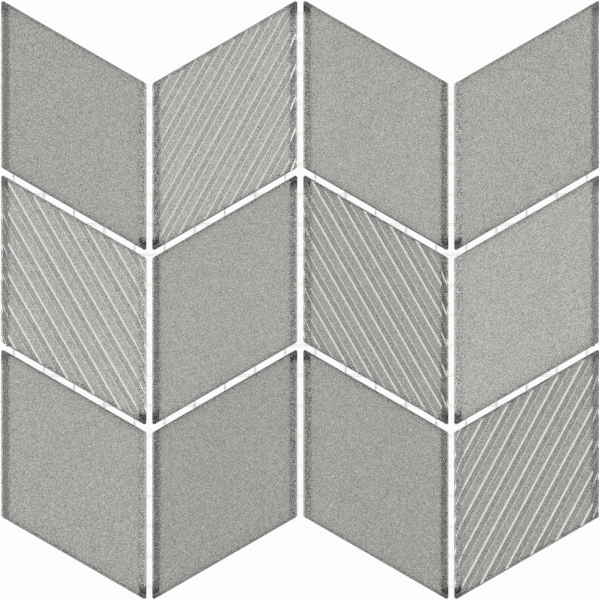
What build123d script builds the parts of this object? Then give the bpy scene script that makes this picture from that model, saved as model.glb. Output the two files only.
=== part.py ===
from build123d import *
from math import cos, floor, radians, sin, tan
import os

# Glass mosaic sheet: silvered glass rhombi in a chevron, bonded on a fibreglass mesh.
# Millimetres. The sheet lies glass face up, X to the right, Y up the chevron, Z out of the face.
# The origin is the middle of the back of the mesh.

# Layout of the sheet
columns = 4
rows = 3
joint_width = 2.0

# Glass chip, a rhombus as wide across its upright sides as across its slanted ones
chip_width = 48.0
side_slope = 30.0
glass_thickness = 8.0
bevel_width = 1.75
edge_width = 0.55
edge_depth = 1.0
slant_rounding = 0.5
corner_radius = 0.6

# Shallow grooves pressed into the back of a ribbed chip, near enough along its long diagonal.
# Seen in section each has a long rise, a roof that falls back, and a short drop.
rib_pitch = 5.05
groove_width = 2.2
rise_width = 0.7
rise_height = 0.19
drop_width = 0.4
drop_height = 0.08
# Ribbed chips by column and row from the top left corner. They are cut from a ribbed strip, so
# each has its own place of a groove from its middle, lean off the diagonal, and way round.
ribbed_chips = {
    (2, 1): (-0.2, 1.0, -1),
    (1, 2): (-0.65, 0.25, -1),
    (3, 2): (2.3, 0.25, 1),
    (4, 3): (0.2, 1.75, -1),
}

# Backing mesh, trimmed inside the outline of the chips
thread_pitch = 10.0
thread_width = 0.8
mesh_thickness = 0.4
mesh_inset = 1.5

# Sizes that follow from the ones above
side_length = chip_width / cos(radians(side_slope))
column_pitch = chip_width + joint_width
row_pitch = column_pitch / cos(radians(side_slope))
corner_rise = chip_width / 2 * tan(radians(side_slope))
border_rise = column_pitch / 2 * tan(radians(side_slope))
column_height = (rows - 1) * row_pitch + side_length
sheet_width = columns * column_pitch - joint_width
sheet_height = column_height + 2 * corner_rise
# Longer than a chip in any direction, so that a section carried this far clears its ends
reach = 2 * side_length


def column_slant(column):
    """Chips fall to the right in the odd columns and rise to the right in the even ones."""
    return -1 if column % 2 else 1


def section_plane(chip_plane, angle):
    """Upright plane through the middle of a chip that faces along a direction in its plan."""
    facing = Vector(cos(radians(angle)), sin(radians(angle)), 0)
    across = Vector(-sin(radians(angle)), cos(radians(angle)), 0)
    return Plane(origin=chip_plane.origin, x_dir=across, z_dir=facing)


def ribbed_outline(first_groove, way_round):
    """Section across the ribs: a straight top over a back of flats and shallow grooves."""
    grooves_each_side = floor(side_length / 2 / rib_pitch) + 2
    groove = [
        (-(groove_width + rise_width) / 2, 0),
        (-(groove_width - rise_width) / 2, rise_height),
        ((groove_width - drop_width) / 2, drop_height),
        ((groove_width + drop_width) / 2, 0),
    ]
    back = [
        (first_groove + number * rib_pitch + way_round * across, height)
        for number in range(-grooves_each_side, grooves_each_side + 1)
        for across, height in groove
    ]
    back.sort()
    Polyline((back[0][0], glass_thickness), *back, (back[-1][0], glass_thickness), close=True)


os.makedirs("parts", exist_ok=True)

for column in range(1, columns + 1):
    for row in range(1, rows + 1):
        slant = column_slant(column)
        chip_plane = Plane(
            origin=(
                (column - (columns + 1) / 2) * column_pitch,
                ((rows + 1) / 2 - row) * row_pitch,
                mesh_thickness,
            )
        )
        with BuildPart() as chip:
            # Plan of the chip, with its four corners just broken
            with BuildSketch(chip_plane) as plan:
                with BuildLine():
                    Polyline(
                        (-chip_width / 2, -slant * corner_rise - side_length / 2),
                        (chip_width / 2, slant * corner_rise - side_length / 2),
                        (chip_width / 2, slant * corner_rise + side_length / 2),
                        (-chip_width / 2, -slant * corner_rise + side_length / 2),
                        close=True,
                    )
                make_face()
                fillet(plan.vertices(), corner_radius)
            extrude(amount=glass_thickness)
            # Bevel along both upright sides at 45 degrees, and a steeper flat outside it
            with BuildSketch(section_plane(chip_plane, 90)):
                with BuildLine():
                    Polyline(
                        (0, glass_thickness),
                        (chip_width / 2 - edge_width - bevel_width, glass_thickness),
                        (chip_width / 2 - edge_width, glass_thickness - bevel_width),
                        (chip_width / 2, glass_thickness - bevel_width - edge_depth),
                        (chip_width / 2, 0),
                        (0, 0),
                        close=True,
                    )
                make_face()
                mirror(about=Plane.YZ)
            extrude(amount=reach, both=True, mode=Mode.INTERSECT)
            # Round edge along both slanted sides
            with BuildSketch(section_plane(chip_plane, slant * side_slope)) as rounded:
                Rectangle(chip_width, glass_thickness, align=(Align.CENTER, Align.MIN))
                fillet(rounded.vertices().group_by(Axis.Y)[-1], slant_rounding)
            extrude(amount=reach, both=True, mode=Mode.INTERSECT)
            # Grooves in the back
            if (column, row) in ribbed_chips:
                first_groove, lean, way_round = ribbed_chips[column, row]
                rib_angle = slant * ((90 + side_slope) / 2 + lean)
                with BuildSketch(section_plane(chip_plane, rib_angle)):
                    with BuildLine():
                        ribbed_outline(first_groove, way_round)
                    make_face()
                extrude(amount=reach, both=True, mode=Mode.INTERSECT)
        kind = "ribbed" if (column, row) in ribbed_chips else "plain"
        chip.part.label = f"{kind}_chip_c{column}_r{row}"
        export_step(chip.part, f"parts/{chip.part.label}.step")

# Backing mesh: two crossing sets of flat threads, fused where they cross
threads_across = 2 * floor(sheet_width / 2 / thread_pitch + 0.5)
threads_down = 2 * floor(sheet_height / 2 / thread_pitch + 0.5)
with BuildPart() as mesh:
    with BuildSketch():
        with GridLocations(thread_pitch, 0, threads_across, 1):
            Rectangle(thread_width, sheet_height)
        with GridLocations(0, thread_pitch, 1, threads_down):
            Rectangle(sheet_width, thread_width)
        # Zigzag outline of the chips, drawn in by the trim
        with BuildSketch(mode=Mode.INTERSECT):
            with BuildLine():
                borders = [(border - columns / 2) * column_pitch for border in range(columns + 1)]
                rises = [border_rise if border % 2 == 0 else -border_rise for border in range(columns + 1)]
                top = [(x, rise + column_height / 2) for x, rise in zip(borders, rises)]
                bottom = [(x, rise - column_height / 2) for x, rise in zip(borders, rises)]
                Polyline(*top, *reversed(bottom), close=True)
            make_face()
            Rectangle(sheet_width, sheet_height, mode=Mode.INTERSECT)
            offset(amount=-mesh_inset, kind=Kind.INTERSECTION, mode=Mode.REPLACE)
    extrude(amount=mesh_thickness)
mesh.part.label = "backing_mesh"
export_step(mesh.part, "parts/backing_mesh.step")
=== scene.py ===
import math

import bmesh
import bpy
import numpy as np
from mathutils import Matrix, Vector


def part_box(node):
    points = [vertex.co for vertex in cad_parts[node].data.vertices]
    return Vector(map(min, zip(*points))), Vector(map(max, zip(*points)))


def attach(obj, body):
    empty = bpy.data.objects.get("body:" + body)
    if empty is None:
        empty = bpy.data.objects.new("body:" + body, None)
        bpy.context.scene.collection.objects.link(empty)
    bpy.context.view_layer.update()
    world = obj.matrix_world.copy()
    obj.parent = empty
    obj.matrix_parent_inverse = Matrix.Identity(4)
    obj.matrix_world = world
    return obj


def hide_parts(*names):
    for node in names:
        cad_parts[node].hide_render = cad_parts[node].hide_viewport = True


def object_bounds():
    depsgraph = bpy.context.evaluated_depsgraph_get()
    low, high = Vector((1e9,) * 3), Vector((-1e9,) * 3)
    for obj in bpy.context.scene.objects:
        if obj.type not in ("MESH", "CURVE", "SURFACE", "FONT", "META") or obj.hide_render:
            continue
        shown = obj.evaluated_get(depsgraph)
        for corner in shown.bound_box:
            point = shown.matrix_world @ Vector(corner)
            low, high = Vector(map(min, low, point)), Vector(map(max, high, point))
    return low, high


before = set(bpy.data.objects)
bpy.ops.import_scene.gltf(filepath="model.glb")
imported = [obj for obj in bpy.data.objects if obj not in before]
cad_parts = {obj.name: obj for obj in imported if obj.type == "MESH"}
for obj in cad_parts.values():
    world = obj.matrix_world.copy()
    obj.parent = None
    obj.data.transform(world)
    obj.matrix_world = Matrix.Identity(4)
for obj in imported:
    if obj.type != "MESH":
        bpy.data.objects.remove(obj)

CAD_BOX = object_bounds()

# Glass chips. Clear soda-lime glass, pressed hot in a mould and cut into rhombi. The slanted
# sides keep a small rounded edge, the upright ones get a flat bevel, and all four sides are
# ground, which leaves them pale and matt. The solids are the frame's own.

MM = 0.001
CHIPS = {name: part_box(name) for name in sorted(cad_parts) if "_chip_" in name}
CLEAR_GLASS = "#FFFFFE"
GLASS_IOR = 1.52
PRESS_WAVE, PRESS_DEPTH = 9 * MM, 0.05 * MM
GROUND_DULL = "#D9DAD6"
GROUND_PALE = "#ECEDE9"
GRIND_MARK = 0.5 * MM
# Size of the vertical part of the surface's normal: below the first the glass is ground, and
# above the second it is smooth
GROUND_BELOW, SMOOTH_ABOVE = 0.1, 0.4


def linear(code):
    """Linear colour of an sRGB hex code, by the standard's two-part curve."""
    srgb = [int(code[i : i + 2], 16) / 255 for i in (1, 3, 5)]
    return (*(c / 12.92 if c <= 0.04045 else ((c + 0.055) / 1.055) ** 2.4 for c in srgb), 1.0)


def add(tree, kind, inputs=None, **settings):
    """Adds a node, sets its settings, and fills its inputs with values or nodes' outputs."""
    made = tree.nodes.new(kind)
    for name, value in settings.items():
        setattr(made, name, value)
    for name, value in (inputs or {}).items():
        if isinstance(value, bpy.types.NodeSocket):
            tree.links.new(value, made.inputs[name])
        else:
            made.inputs[name].default_value = value
    return made


def new_material(name):
    """An empty material and its node tree."""
    material = bpy.data.materials.new(name)
    material.use_nodes = True
    material.node_tree.nodes.clear()
    return material, material.node_tree


def pressed_glass():
    """Clear glass, smooth on its faces and bevels, and ground to a pale matt on its sides.

    The faces keep faint waves from the press, about 9 mm apart. The marks of the grinding are
    drawn 0.5 mm apart, coarser than they are, so that they show.
    """
    material, tree = new_material("clear_pressed_glass")
    place = add(tree, "ShaderNodeTexCoord").outputs["Object"]
    waves = add(
        tree, "ShaderNodeTexNoise", {"Vector": place, "Scale": 1 / PRESS_WAVE, "Detail": 1.0}
    )
    skin = add(
        tree,
        "ShaderNodeBump",
        {"Height": waves.outputs["Fac"], "Strength": 0.2, "Distance": PRESS_DEPTH},
    )
    smooth = add(
        tree,
        "ShaderNodeBsdfPrincipled",
        {
            "Base Color": linear(CLEAR_GLASS),
            "Normal": skin.outputs["Normal"],
            "Roughness": 0.0,
            "IOR": GLASS_IOR,
            "Transmission Weight": 1.0,
        },
    )
    marks = add(
        tree, "ShaderNodeTexNoise", {"Vector": place, "Scale": 1 / GRIND_MARK, "Detail": 4.0}
    )
    matt = add(
        tree,
        "ShaderNodeMix",
        {"Factor": marks.outputs["Fac"], "A": linear(GROUND_DULL), "B": linear(GROUND_PALE)},
        data_type="RGBA",
    )
    ground = add(
        tree,
        "ShaderNodeBsdfPrincipled",
        {"Base Color": matt.outputs["Result"], "Roughness": 0.85, "IOR": GLASS_IOR},
    )
    facing = add(tree, "ShaderNodeNewGeometry").outputs["Normal"]
    facing = add(tree, "ShaderNodeSeparateXYZ", {"Vector": facing})
    upward = add(tree, "ShaderNodeMath", {0: facing.outputs["Z"]}, operation="ABSOLUTE")
    side = add(
        tree,
        "ShaderNodeMapRange",
        {
            "Value": upward.outputs["Value"],
            "From Min": GROUND_BELOW,
            "From Max": SMOOTH_ABOVE,
            "To Min": 1.0,
            "To Max": 0.0,
        },
    )
    surface = add(
        tree,
        "ShaderNodeMixShader",
        {0: side.outputs["Result"], 1: smooth.outputs["BSDF"], 2: ground.outputs["BSDF"]},
    )
    add(tree, "ShaderNodeOutputMaterial", {"Surface": surface.outputs["Shader"]})
    return material


glass = pressed_glass()
for name in CHIPS:
    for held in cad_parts[name].material_slots:
        held.material = glass

# Silver coat. Silver flake lacquer is sprayed on the back of each chip, where it follows the
# pressed grooves, and a pale grey paint covers it. The film is drawn 0.12 mm thick, a little
# more than it is, so that it hides the back of the glass all over.

SLOPE = math.radians(30)
CHIP_WIDTH = 48 * MM
CORNER = 0.6 * MM
RIB_PITCH = 5.05 * MM
GROOVE = 2.2 * MM
RISE_WIDTH, RISE_HEIGHT = 0.7 * MM, 0.19 * MM
DROP_WIDTH, DROP_HEIGHT = 0.4 * MM, 0.08 * MM
GROOVES_EACH_SIDE = 12
# Each ribbed chip's place of a groove in mm from its middle, lean in degrees, and way round
GROOVES = {
    "c2_r1": (-0.2, 1.0, -1),
    "c1_r2": (-0.65, 0.25, -1),
    "c3_r2": (2.3, 0.25, 1),
    "c4_r3": (0.2, 1.75, -1),
}
FILM = 0.12 * MM
COAT_INSET = 0.05 * MM
SOFT_FOLD = 0.04 * MM
# Steps round half of the outline, lines along the ribs, and where each line is cut from its
# ends if it is long enough
OUTLINE_STEPS = 61
LINES = 25
END_CUTS = np.array((0, 1.3, 2.6, 4.0, 5.6)) * MM
LONG_LINE = 12 * MM
# Each chip's tone, from its own batch, and how far in and how dark the painted shade at slanted
# sides is
TONES, TONE_SEED = (0.84, 1.1), 264
EDGE_REACH, EDGE_PAINTED_SHADE = 3.2 * MM, 0.15
FLAKE = 0.34 * MM
SILVER = "#ABABA8"
FLAKE_HIGHLIGHT = "#D0D0CE"
# How much the shine of the flakes varies, how far they tilt on the flatter back and on the steep
# walls of the grooves, how much of the glass's own tilt they follow, and their share of the
# surface
SPARKLE = 0.26
TILT, WALL_TILT = 0.1, 0.03
LIE = 0.2
METAL_SHARE = 0.75
# Tilt of the back in degrees where painted shade begins and is full, and how dark it leaves the
# silver: the tilted floor of each groove is painted darker. Tilt where a painted highlight
# begins
# and is full: the steep walls of each groove are painted a paler, fully metallic silver
SHADE_TILTS, GROOVE_SHADE = (1.5, 3.5), 0.85
HIGHLIGHT_TILTS = (7, 12)
PAINT_GREY = "#BDBDB8"
PAINT_PALE = "#C9C9C4"
PAINT_DRIFT = 6 * MM
PEEL_PITCH, PEEL_DEPTH = 0.9 * MM, 0.03 * MM


def new_object(name, points, faces, materials, slots=None, uv=None):
    """Object of an array of points and an array of four-cornered faces, doubles merged.

    slots gives each face's material and uv each point's place on its yarn.
    """
    mesh = bpy.data.meshes.new(name)
    mesh.from_pydata(points.tolist(), [], faces.tolist())
    if slots is not None:
        mesh.polygons.foreach_set("material_index", slots)
    if uv is not None:
        layer = mesh.uv_layers.new(name="along")
        layer.data.foreach_set("uv", uv[faces.ravel()].astype(np.float32).ravel())
    for material in materials:
        mesh.materials.append(material)
    made = bmesh.new()
    made.from_mesh(mesh)
    bmesh.ops.remove_doubles(made, verts=made.verts, dist=1e-7)
    made.to_mesh(mesh)
    made.free()
    thing = bpy.data.objects.new(name, mesh)
    bpy.context.collection.objects.link(thing)
    return thing


def coat_film(middle, slant, groove):
    """Points, faces and slots of the film on one back.

    p runs across the ribs and t along them. The outline is a rhombus grown by a disc: its
    furthest point in any direction is the rhombus's furthest corner and the disc's radius more.
    The lines of constant p pass through the points of the outline, evenly between them, and
    beside the folds of the grooves. Each line is cut at set distances from its two ends on the
    outline, drawn together where the line is short. Across the ribs the height is straight
    between the folds, each fold cut off a little to either side. The upper side is half a film
    above the back and the lower one half a film below.
    """
    first, lean, way = groove or (0, 0, 1)
    angle = slant * ((math.pi / 2 + SLOPE) / 2 + math.radians(lean))
    along = np.array((math.cos(angle), math.sin(angle)))
    across = np.array((-math.sin(angle), math.cos(angle)))
    half = CHIP_WIDTH / 2 - COAT_INSET - CORNER
    x = np.array((-half, half, half, -half))
    y = slant * math.tan(SLOPE) * x + np.array((-1, -1, 1, 1)) * half / math.cos(SLOPE)
    corners = np.stack([x, y], axis=1)
    turn = np.linspace(0, np.pi, OUTLINE_STEPS)[:, None]
    edges = []
    for side in (-1, 1):
        facing = side * np.sin(turn) * along - np.cos(turn) * across
        furthest = corners[np.argmax(facing @ corners.T, axis=1)] + CORNER * facing
        edges.append((furthest @ across, furthest @ along))
    p = np.concatenate([edges[0][0], np.linspace(-1, 1, LINES) * edges[0][0].max()])
    folds, heights = np.array([0.0]), np.array([0.0])
    if groove:
        rise_ends = (-GROOVE - RISE_WIDTH, RISE_WIDTH - GROOVE)
        drop_ends = (GROOVE - DROP_WIDTH, GROOVE + DROP_WIDTH)
        fold = np.array((*rise_ends, *drop_ends))[::way] * way / 2
        number = np.arange(-GROOVES_EACH_SIDE, GROOVES_EACH_SIDE + 1)[:, None]
        folds = (first * MM + number * RIB_PITCH + fold).ravel()
        heights = np.tile(np.array((0, RISE_HEIGHT, DROP_HEIGHT, 0))[::way], len(number))
        cuts = np.concatenate([folds - SOFT_FOLD, folds + SOFT_FOLD])
        p = np.concatenate([p, cuts[np.abs(cuts) < p.max()]])
    p = np.unique(p)
    low_end, high_end = (np.interp(p, *edge)[:, None] for edge in edges)
    inward = END_CUTS * np.minimum(1, (high_end - low_end) / LONG_LINE)
    t = np.concatenate([low_end + inward, high_end - inward[:, ::-1]], axis=1)
    plan = np.array(middle[:2]) + p[:, None, None] * across + t[:, :, None] * along
    height = middle[2] + np.interp(p, folds, heights)
    height = np.broadcast_to(height[:, None, None], (*t.shape, 1))
    top = np.concatenate([plan, height + FILM / 2], axis=2)
    bottom = np.concatenate([plan, height - FILM / 2], axis=2)
    point = np.arange(t.size).reshape(t.shape)
    line, next_line = point[:-1], point[1:]
    upper = [line[:, :-1], line[:, 1:], next_line[:, 1:], next_line[:, :-1]]
    upper = np.stack(upper, axis=-1).reshape(-1, 4)
    lower = upper[:, ::-1] + point.size
    rim = np.concatenate([point[0], point[1:, -1], point[-1, -2::-1], point[-2:0:-1, 0]])
    after = np.roll(rim, -1)
    rim_faces = np.stack([rim, rim + point.size, after + point.size, after], axis=-1)
    points = np.concatenate([top.reshape(-1, 3), bottom.reshape(-1, 3)])
    faces = np.concatenate([upper, lower, rim_faces])
    slots = np.concatenate([np.zeros(len(upper)), np.ones(len(lower) + len(rim_faces))])
    return points, faces, slots.astype(np.int32)


def silver_flake():
    """Sprayed silver flake lacquer: metal flakes that lie nearly flat, each with its own tilt.

    Flakes are about 0.05 mm, and are drawn as cells of 0.34 mm so that they show. The binder
    between them scatters part of the light. Along the steep sides of a groove the flakes are
    drawn flatter than the glass there, and their silver is painted paler and fully metallic: a
    painted highlight that shows as a bright line. The tilted floor of the groove between them is
    painted darker, as painted shade.
    """
    material, tree = new_material("silver_flake_lacquer")
    place = add(tree, "ShaderNodeTexCoord").outputs["Object"]
    flakes = add(tree, "ShaderNodeTexVoronoi", {"Vector": place, "Scale": 1 / FLAKE})
    # Each cell has its own red, green and blue. The first two tilt it, the last sets its shine
    parts = add(tree, "ShaderNodeSeparateColor", {"Color": flakes.outputs["Color"]})
    shine = add(
        tree,
        "ShaderNodeMapRange",
        {"Value": parts.outputs["Blue"], "To Min": 1 - SPARKLE, "To Max": 1 + SPARKLE},
    )
    facing = add(tree, "ShaderNodeNewGeometry").outputs["Normal"]
    level = add(tree, "ShaderNodeSeparateXYZ", {"Vector": facing}).outputs["Z"]
    # Painted shade: the silver is darkened where the back tilts a few degrees, on each groove's
    # floor
    groove_shade = add(
        tree,
        "ShaderNodeMapRange",
        {
            "Value": level,
            "From Min": math.cos(math.radians(SHADE_TILTS[0])),
            "From Max": math.cos(math.radians(SHADE_TILTS[1])),
            "To Min": 1.0,
            "To Max": GROOVE_SHADE,
        },
    )
    # Painted highlight: where the back is steep, on each groove's walls, the silver is painted
    # paler
    highlight_walls = add(
        tree,
        "ShaderNodeMapRange",
        {
            "Value": level,
            "From Min": math.cos(math.radians(HIGHLIGHT_TILTS[0])),
            "From Max": math.cos(math.radians(HIGHLIGHT_TILTS[1])),
            "To Min": 0.0,
            "To Max": 1.0,
        },
    ).outputs["Result"]
    # Each chip's own tone, times the painted shade near its slanted sides
    tone_and_shade = add(tree, "ShaderNodeAttribute", attribute_name="tone_and_shade").outputs["Fac"]
    bright = add(
        tree, "ShaderNodeMath", {0: groove_shade.outputs["Result"], 1: tone_and_shade}, operation="MULTIPLY"
    )
    bright = add(
        tree,
        "ShaderNodeMath",
        {0: bright.outputs["Value"], 1: shine.outputs["Result"]},
        operation="MULTIPLY",
    )
    silver = add(
        tree,
        "ShaderNodeVectorMath",
        {0: linear(SILVER)[:3], "Scale": bright.outputs["Value"]},
        operation="SCALE",
    )
    # On the steep groove walls the silver gives way to the paler painted highlight, fully
    # metallic
    colour = add(
        tree,
        "ShaderNodeMix",
        {"Factor": highlight_walls, "A": silver.outputs["Vector"], "B": linear(FLAKE_HIGHLIGHT)},
        data_type="RGBA",
    )
    metal = add(
        tree, "ShaderNodeMapRange", {"Value": highlight_walls, "To Min": METAL_SHARE, "To Max": 1.0}
    )
    lying = add(
        tree, "ShaderNodeVectorMath", {0: facing, 1: (LIE, LIE, 1.0)}, operation="MULTIPLY"
    )
    centred = add(
        tree,
        "ShaderNodeVectorMath",
        {0: flakes.outputs["Color"], 1: (0.5, 0.5, 0.5)},
        operation="SUBTRACT",
    )
    lean = add(
        tree, "ShaderNodeMapRange", {"Value": highlight_walls, "To Min": TILT, "To Max": WALL_TILT}
    )
    tilt = add(
        tree,
        "ShaderNodeVectorMath",
        {0: centred.outputs["Vector"], "Scale": lean.outputs["Result"]},
        operation="SCALE",
    )
    normal = add(
        tree,
        "ShaderNodeVectorMath",
        {0: lying.outputs["Vector"], 1: tilt.outputs["Vector"]},
        operation="ADD",
    )
    normal = add(
        tree, "ShaderNodeVectorMath", {0: normal.outputs["Vector"]}, operation="NORMALIZE"
    )
    surface = add(
        tree,
        "ShaderNodeBsdfPrincipled",
        {
            "Base Color": colour.outputs["Result"],
            "Normal": normal.outputs["Vector"],
            "Metallic": metal.outputs["Result"],
            "Roughness": 0.2,
        },
    )
    add(tree, "ShaderNodeOutputMaterial", {"Surface": surface.outputs["BSDF"]})
    return material


def backing_paint():
    """Sprayed grey cover paint: matt, slightly uneven in shade, with a fine orange peel."""
    material, tree = new_material("sprayed_cover_paint")
    place = add(tree, "ShaderNodeTexCoord").outputs["Object"]
    drift = add(
        tree, "ShaderNodeTexNoise", {"Vector": place, "Scale": 1 / PAINT_DRIFT, "Detail": 6.0}
    )
    shade = add(
        tree,
        "ShaderNodeMix",
        {"Factor": drift.outputs["Fac"], "A": linear(PAINT_GREY), "B": linear(PAINT_PALE)},
        data_type="RGBA",
    )
    peel = add(
        tree, "ShaderNodeTexNoise", {"Vector": place, "Scale": 1 / PEEL_PITCH, "Detail": 2.0}
    )
    orange_peel = add(
        tree,
        "ShaderNodeBump",
        {"Height": peel.outputs["Fac"], "Strength": 0.4, "Distance": PEEL_DEPTH},
    )
    surface = add(
        tree,
        "ShaderNodeBsdfPrincipled",
        {
            "Base Color": shade.outputs["Result"],
            "Normal": orange_peel.outputs["Normal"],
            "Roughness": 0.7,
        },
    )
    add(tree, "ShaderNodeOutputMaterial", {"Surface": surface.outputs["BSDF"]})
    return material


coat_materials = [silver_flake(), backing_paint()]
tones = np.random.default_rng(TONE_SEED)
for name, (low, high) in CHIPS.items():
    place = name.split("chip_")[1]
    slant = -1 if int(place[1]) % 2 else 1
    middle = ((low.x + high.x) / 2, (low.y + high.y) / 2, low.z)
    points, faces, slots = coat_film(middle, slant, GROOVES.get(place))
    coat = new_object(f"silver_coat_{place}", points, faces, coat_materials, slots)
    spots = np.zeros(len(coat.data.vertices) * 3, dtype=np.float32)
    coat.data.vertices.foreach_get("co", spots)
    x, y = (spots.reshape(-1, 3)[:, :2] - middle[:2]).T
    # Painted shade: the silver darkens towards each chip's slanted sides, within a few
    # millimetres
    from_edge = CHIP_WIDTH / 2 - np.abs(y * math.cos(SLOPE) - slant * x * math.sin(SLOPE))
    shade = 1 - EDGE_PAINTED_SHADE * np.clip(1 - from_edge / EDGE_REACH, 0, 1)
    tone_and_shade = coat.data.attributes.new("tone_and_shade", "FLOAT", "POINT")
    tone_and_shade.data.foreach_set("value", tones.uniform(*TONES) * shade)
    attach(coat, "root")

# Backing mesh. The real one is a leno weave of glass yarn stiffened with clear resin: flat weft
# yarns lie between pairs of thin warp yarns, which swap sides between every two wefts. The
# sheet of it is cut with scissors a little inside the zigzag outline of the chips.

MESH_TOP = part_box("backing_mesh")[1].z
MESH_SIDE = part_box("backing_mesh")[1].x
JOINT = 2 * MM
COLUMN_PITCH = CHIP_WIDTH + JOINT
ROW_PITCH = COLUMN_PITCH / math.cos(SLOPE)
CHIP_SIDE = CHIP_WIDTH / math.cos(SLOPE)
YARN_TRIM = 1.5 * MM
YARNS, YARN_PITCH = 20, 10 * MM
WEFT_WIDTH, WEFT_THICKNESS = 0.8 * MM, 0.15 * MM
WARP_WIDTH, WARP_THICKNESS = 0.36 * MM, 0.12 * MM
WEFT_STEPS = 40
WARP_STEP = 1.25 * MM
# Powers that make a yarn's section squarer than an ellipse, and its bends flatter than waves
SQUARE_SECTION = 0.7
FLAT_BEND = 0.6
FILAMENT, BUNCH_LENGTH = 0.06 * MM, 1.5 * MM
RESIN_CLEAR = "#FFFFFF"
FILAMENT_WHITE = "#F6F6F3"


def yarns(paths, across, width, thickness, corners):
    """Points, faces and UV of flat yarns.

    paths is yarns by steps by three. A superellipse with its wide axis across is carried along
    each path, and shrinks to its middle at both ends, which closes them. U runs along the yarn
    and V round it, both in metres.
    """
    turn = np.linspace(0, 2 * np.pi, corners, endpoint=False) + np.pi / corners
    wide = np.sign(np.cos(turn)) * np.abs(np.cos(turn)) ** SQUARE_SECTION * width / 2
    high = np.sign(np.sin(turn)) * np.abs(np.sin(turn)) ** SQUARE_SECTION * thickness / 2
    section = wide[:, None] * np.array(across) + high[:, None] * np.array((0, 0, 1.0))
    paths = np.concatenate([paths[:, :1], paths, paths[:, -1:]], axis=1)
    size = np.ones(paths.shape[1])
    size[[0, -1]] = 0
    points = paths[:, :, None, :] + size[None, :, None, None] * section
    count, steps = points.shape[:2]
    point = np.arange(count * steps * corners).reshape(count, steps, corners)
    after = np.roll(point, -1, axis=2)
    faces = np.stack([point[:, :-1], after[:, :-1], after[:, 1:], point[:, 1:]], axis=-1)
    reached = np.linalg.norm(np.diff(paths, axis=1), axis=2).cumsum(axis=1)
    along = np.concatenate([np.zeros((count, 1)), reached], axis=1)
    uv = np.stack(np.broadcast_arrays(along[:, :, None], turn * width / np.pi), axis=-1)
    return points.reshape(-1, 3), faces.reshape(-1, 4), uv.reshape(-1, 2)


def upper_edge(x):
    """Upper edge of the mesh at x: straight slopes down from tips two column pitches apart.

    The lower edge is the same, one column pitch aside and turned upside down.
    """
    tip = ROW_PITCH + CHIP_SIDE / 2 + (COLUMN_PITCH / 2) * math.tan(SLOPE)
    from_tip = np.abs((x / COLUMN_PITCH + 1) % 2 - 1) * COLUMN_PITCH
    return tip - from_tip * math.tan(SLOPE) - YARN_TRIM / math.cos(SLOPE)


def glass_yarn():
    """Glass yarn in clear resin: nearly clear, with faint filaments along its length.

    The filaments are 0.01 mm thick, and are drawn in bunches 0.06 mm wide and 1.5 mm long so
    that they show.
    """
    material, tree = new_material("resin_coated_glass_yarn")
    spot = add(tree, "ShaderNodeUVMap", uv_map="along").outputs["UV"]
    stretch = add(
        tree,
        "ShaderNodeMapping",
        {"Vector": spot, "Scale": (1 / BUNCH_LENGTH, 1 / FILAMENT, 1)},
    )
    bunches = add(
        tree,
        "ShaderNodeTexNoise",
        {"Vector": stretch.outputs["Vector"], "Scale": 1.0, "Detail": 3.0},
    ).outputs["Fac"]
    shade = add(
        tree,
        "ShaderNodeMix",
        {"Factor": bunches, "A": linear(FILAMENT_WHITE), "B": linear(RESIN_CLEAR)},
        data_type="RGBA",
    )
    ridges = add(
        tree, "ShaderNodeBump", {"Height": bunches, "Strength": 0.08, "Distance": FILAMENT}
    )
    surface = add(
        tree,
        "ShaderNodeBsdfPrincipled",
        {
            "Base Color": shade.outputs["Result"],
            "Normal": ridges.outputs["Normal"],
            "Roughness": 0.1,
            "IOR": 1.5,
            "Transmission Weight": 1.0,
        },
    )
    add(tree, "ShaderNodeOutputMaterial", {"Surface": surface.outputs["BSDF"]})
    return material


yarn_places = (np.arange(YARNS) - (YARNS - 1) / 2) * YARN_PITCH
middle = MESH_TOP / 2

# Warp: one strand of each pair stays over the wefts and the other under them. Both swing from
# side to side as a cosine of y, half a wave to a weft, and stand furthest apart at a weft
lower = -upper_edge(yarn_places + COLUMN_PITCH)
upper = upper_edge(yarn_places)
steps = np.linspace(0, 1, round(CAD_BOX[1].y * 2 / WARP_STEP))
y = lower[:, None] + (upper - lower)[:, None] * steps
swing = np.cos(np.pi * (y / YARN_PITCH + 0.5))
x = yarn_places[:, None] + swing * (WEFT_WIDTH - WARP_WIDTH) / 2
rise = WARP_THICKNESS / 2 + (middle - WARP_THICKNESS) * np.abs(swing) ** FLAT_BEND
over = np.stack([x, y, middle + rise], axis=-1)
under = np.stack([2 * yarn_places[:, None] - x, y, middle - rise], axis=-1)
warp = yarns(np.concatenate([over, under]), (1, 0, 0), WARP_WIDTH, WARP_THICKNESS, corners=6)

# Weft: whole across the middle rows, and in short lengths through the tips of the zigzag
spans = []
for y in yarn_places:
    tips = np.array([-2, 0, 2] if y > 0 else [-1, 1]) * COLUMN_PITCH
    half = (upper_edge(0) - abs(y)) / math.tan(SLOPE)
    if half > COLUMN_PITCH:
        spans.append((-MESH_SIDE, MESH_SIDE, y))
    else:
        spans += [(max(t - half, -MESH_SIDE), min(t + half, MESH_SIDE), y) for t in tips]
start, end, y = np.array(spans).T[:, :, None]
x = start + (end - start) * np.linspace(0, 1, WEFT_STEPS)
weft_path = np.stack(np.broadcast_arrays(x, y, middle), axis=-1)
weft = yarns(weft_path, (0, 1, 0), WEFT_WIDTH, WEFT_THICKNESS, corners=8)

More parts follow.
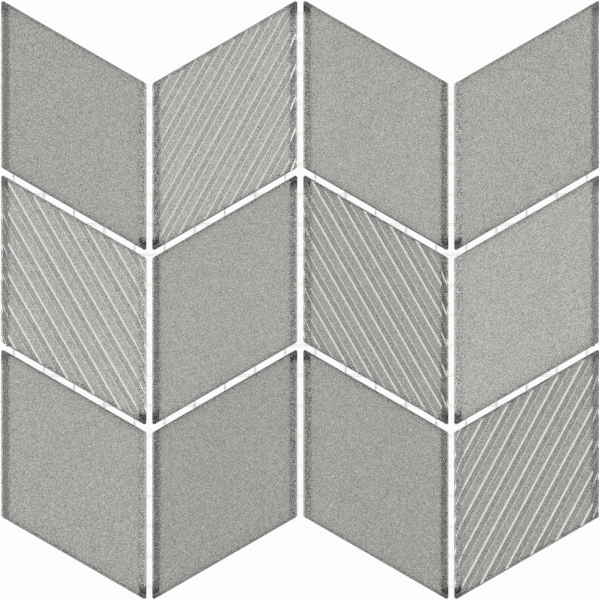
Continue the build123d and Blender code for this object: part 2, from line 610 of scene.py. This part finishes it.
# The warps' faces are turned over, so that all faces point out of the yarns
points = np.concatenate([warp[0], weft[0]])
faces = np.concatenate([warp[1][:, ::-1], weft[1] + len(warp[0])])
uv = np.concatenate([warp[2], weft[2]])
woven_mesh = new_object("woven_mesh", points, faces, [glass_yarn()], uv=uv)
woven_mesh.data.shade_smooth()
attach(woven_mesh, "root")
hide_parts("backing_mesh")

# Floor, lamps and camera. A pale floor seen as white, an overhead panel, and a long soft box
# on either side, which are what the silver mirrors. The camera looks straight down through a
# very long lens.

WHITE = "#F4F4F2"
FLOOR_SIZE = 4.0
SEEN_WHITE = 0.95
SKY_LEVEL = 0.29


def pale_floor():
    """Pale floor that the camera, mirrors and glass see as white, with the shadow kept in it."""
    material, tree = new_material("pale_floor")
    surface = add(
        tree, "ShaderNodeBsdfPrincipled", {"Base Color": linear(WHITE), "Roughness": 0.8}
    )
    ray = add(tree, "ShaderNodeLightPath")
    seen = add(
        tree,
        "ShaderNodeMath",
        {0: ray.outputs["Is Camera Ray"], 1: ray.outputs["Is Glossy Ray"]},
        operation="MAXIMUM",
    )
    seen = add(
        tree,
        "ShaderNodeMath",
        {0: seen.outputs["Value"], 1: ray.outputs["Is Transmission Ray"]},
        operation="MAXIMUM",
    )
    share = add(
        tree, "ShaderNodeMath", {0: seen.outputs["Value"], 1: SEEN_WHITE}, operation="MULTIPLY"
    )
    glow = add(tree, "ShaderNodeEmission", {"Strength": 1.0})
    both = add(
        tree,
        "ShaderNodeMixShader",
        {0: share.outputs["Value"], 1: surface.outputs["BSDF"], 2: glow.outputs["Emission"]},
    )
    add(tree, "ShaderNodeOutputMaterial", {"Surface": both.outputs["Shader"]})
    return material


corners = np.array([(-1, -1, 0), (1, -1, 0), (1, 1, 0), (-1, 1, 0)]) * FLOOR_SIZE / 2
floor = new_object("floor", corners, np.array([[0, 1, 2, 3]]), [pale_floor()])

world = bpy.data.worlds.new("studio")
bpy.context.scene.world = world
world.use_nodes = True
world.node_tree.nodes.clear()
sky = add(
    world.node_tree, "ShaderNodeBackground", {"Color": (1, 1, 1, 1), "Strength": SKY_LEVEL}
)
add(world.node_tree, "ShaderNodeOutputWorld", {"Surface": sky.outputs["Background"]})


def soft_box(name, place, size, level):
    """A rectangular lamp that faces the middle of the sheet and shows at this brightness."""
    lamp = bpy.data.lights.new(name, "AREA")
    lamp.shape = "RECTANGLE"
    lamp.size, lamp.size_y = size
    lamp.energy = level * math.pi * size[0] * size[1]
    held = bpy.data.objects.new(name, lamp)
    held.location = place
    held.rotation_euler = Vector(place).to_track_quat("Z", "Y").to_euler()
    held.visible_camera = False
    bpy.context.collection.objects.link(held)


soft_box("overhead_panel", place=(0, 0, 1.8), size=(0.85, 0.85), level=1.08)
soft_box("left_soft_box", place=(-0.44, 0, 0.46), size=(0.9, 0.3), level=1.6)
soft_box("right_soft_box", place=(0.44, 0, 0.46), size=(0.9, 0.3), level=1.6)

# The frame is this tall at this level in the glass, and its middle a little left of the sheet's
FRAME_HEIGHT = 198.54 * MM
FRAME_LEVEL = 6 * MM
FRAME_ASIDE = -0.28 * MM
LENS, SENSOR = 600, 36
camera = bpy.data.cameras.new("camera")
camera.lens = LENS
camera.sensor_width = SENSOR
camera.clip_end = 20
eye = bpy.data.objects.new("camera", camera)
eye.location = (FRAME_ASIDE, 0, FRAME_LEVEL + FRAME_HEIGHT * LENS / SENSOR)
bpy.context.collection.objects.link(eye)
bpy.context.scene.camera = eye
bpy.context.scene.view_settings.view_transform = "Standard"
# Denoising would take the grain of the flakes for noise and smear it
bpy.context.scene.cycles.use_denoising = False
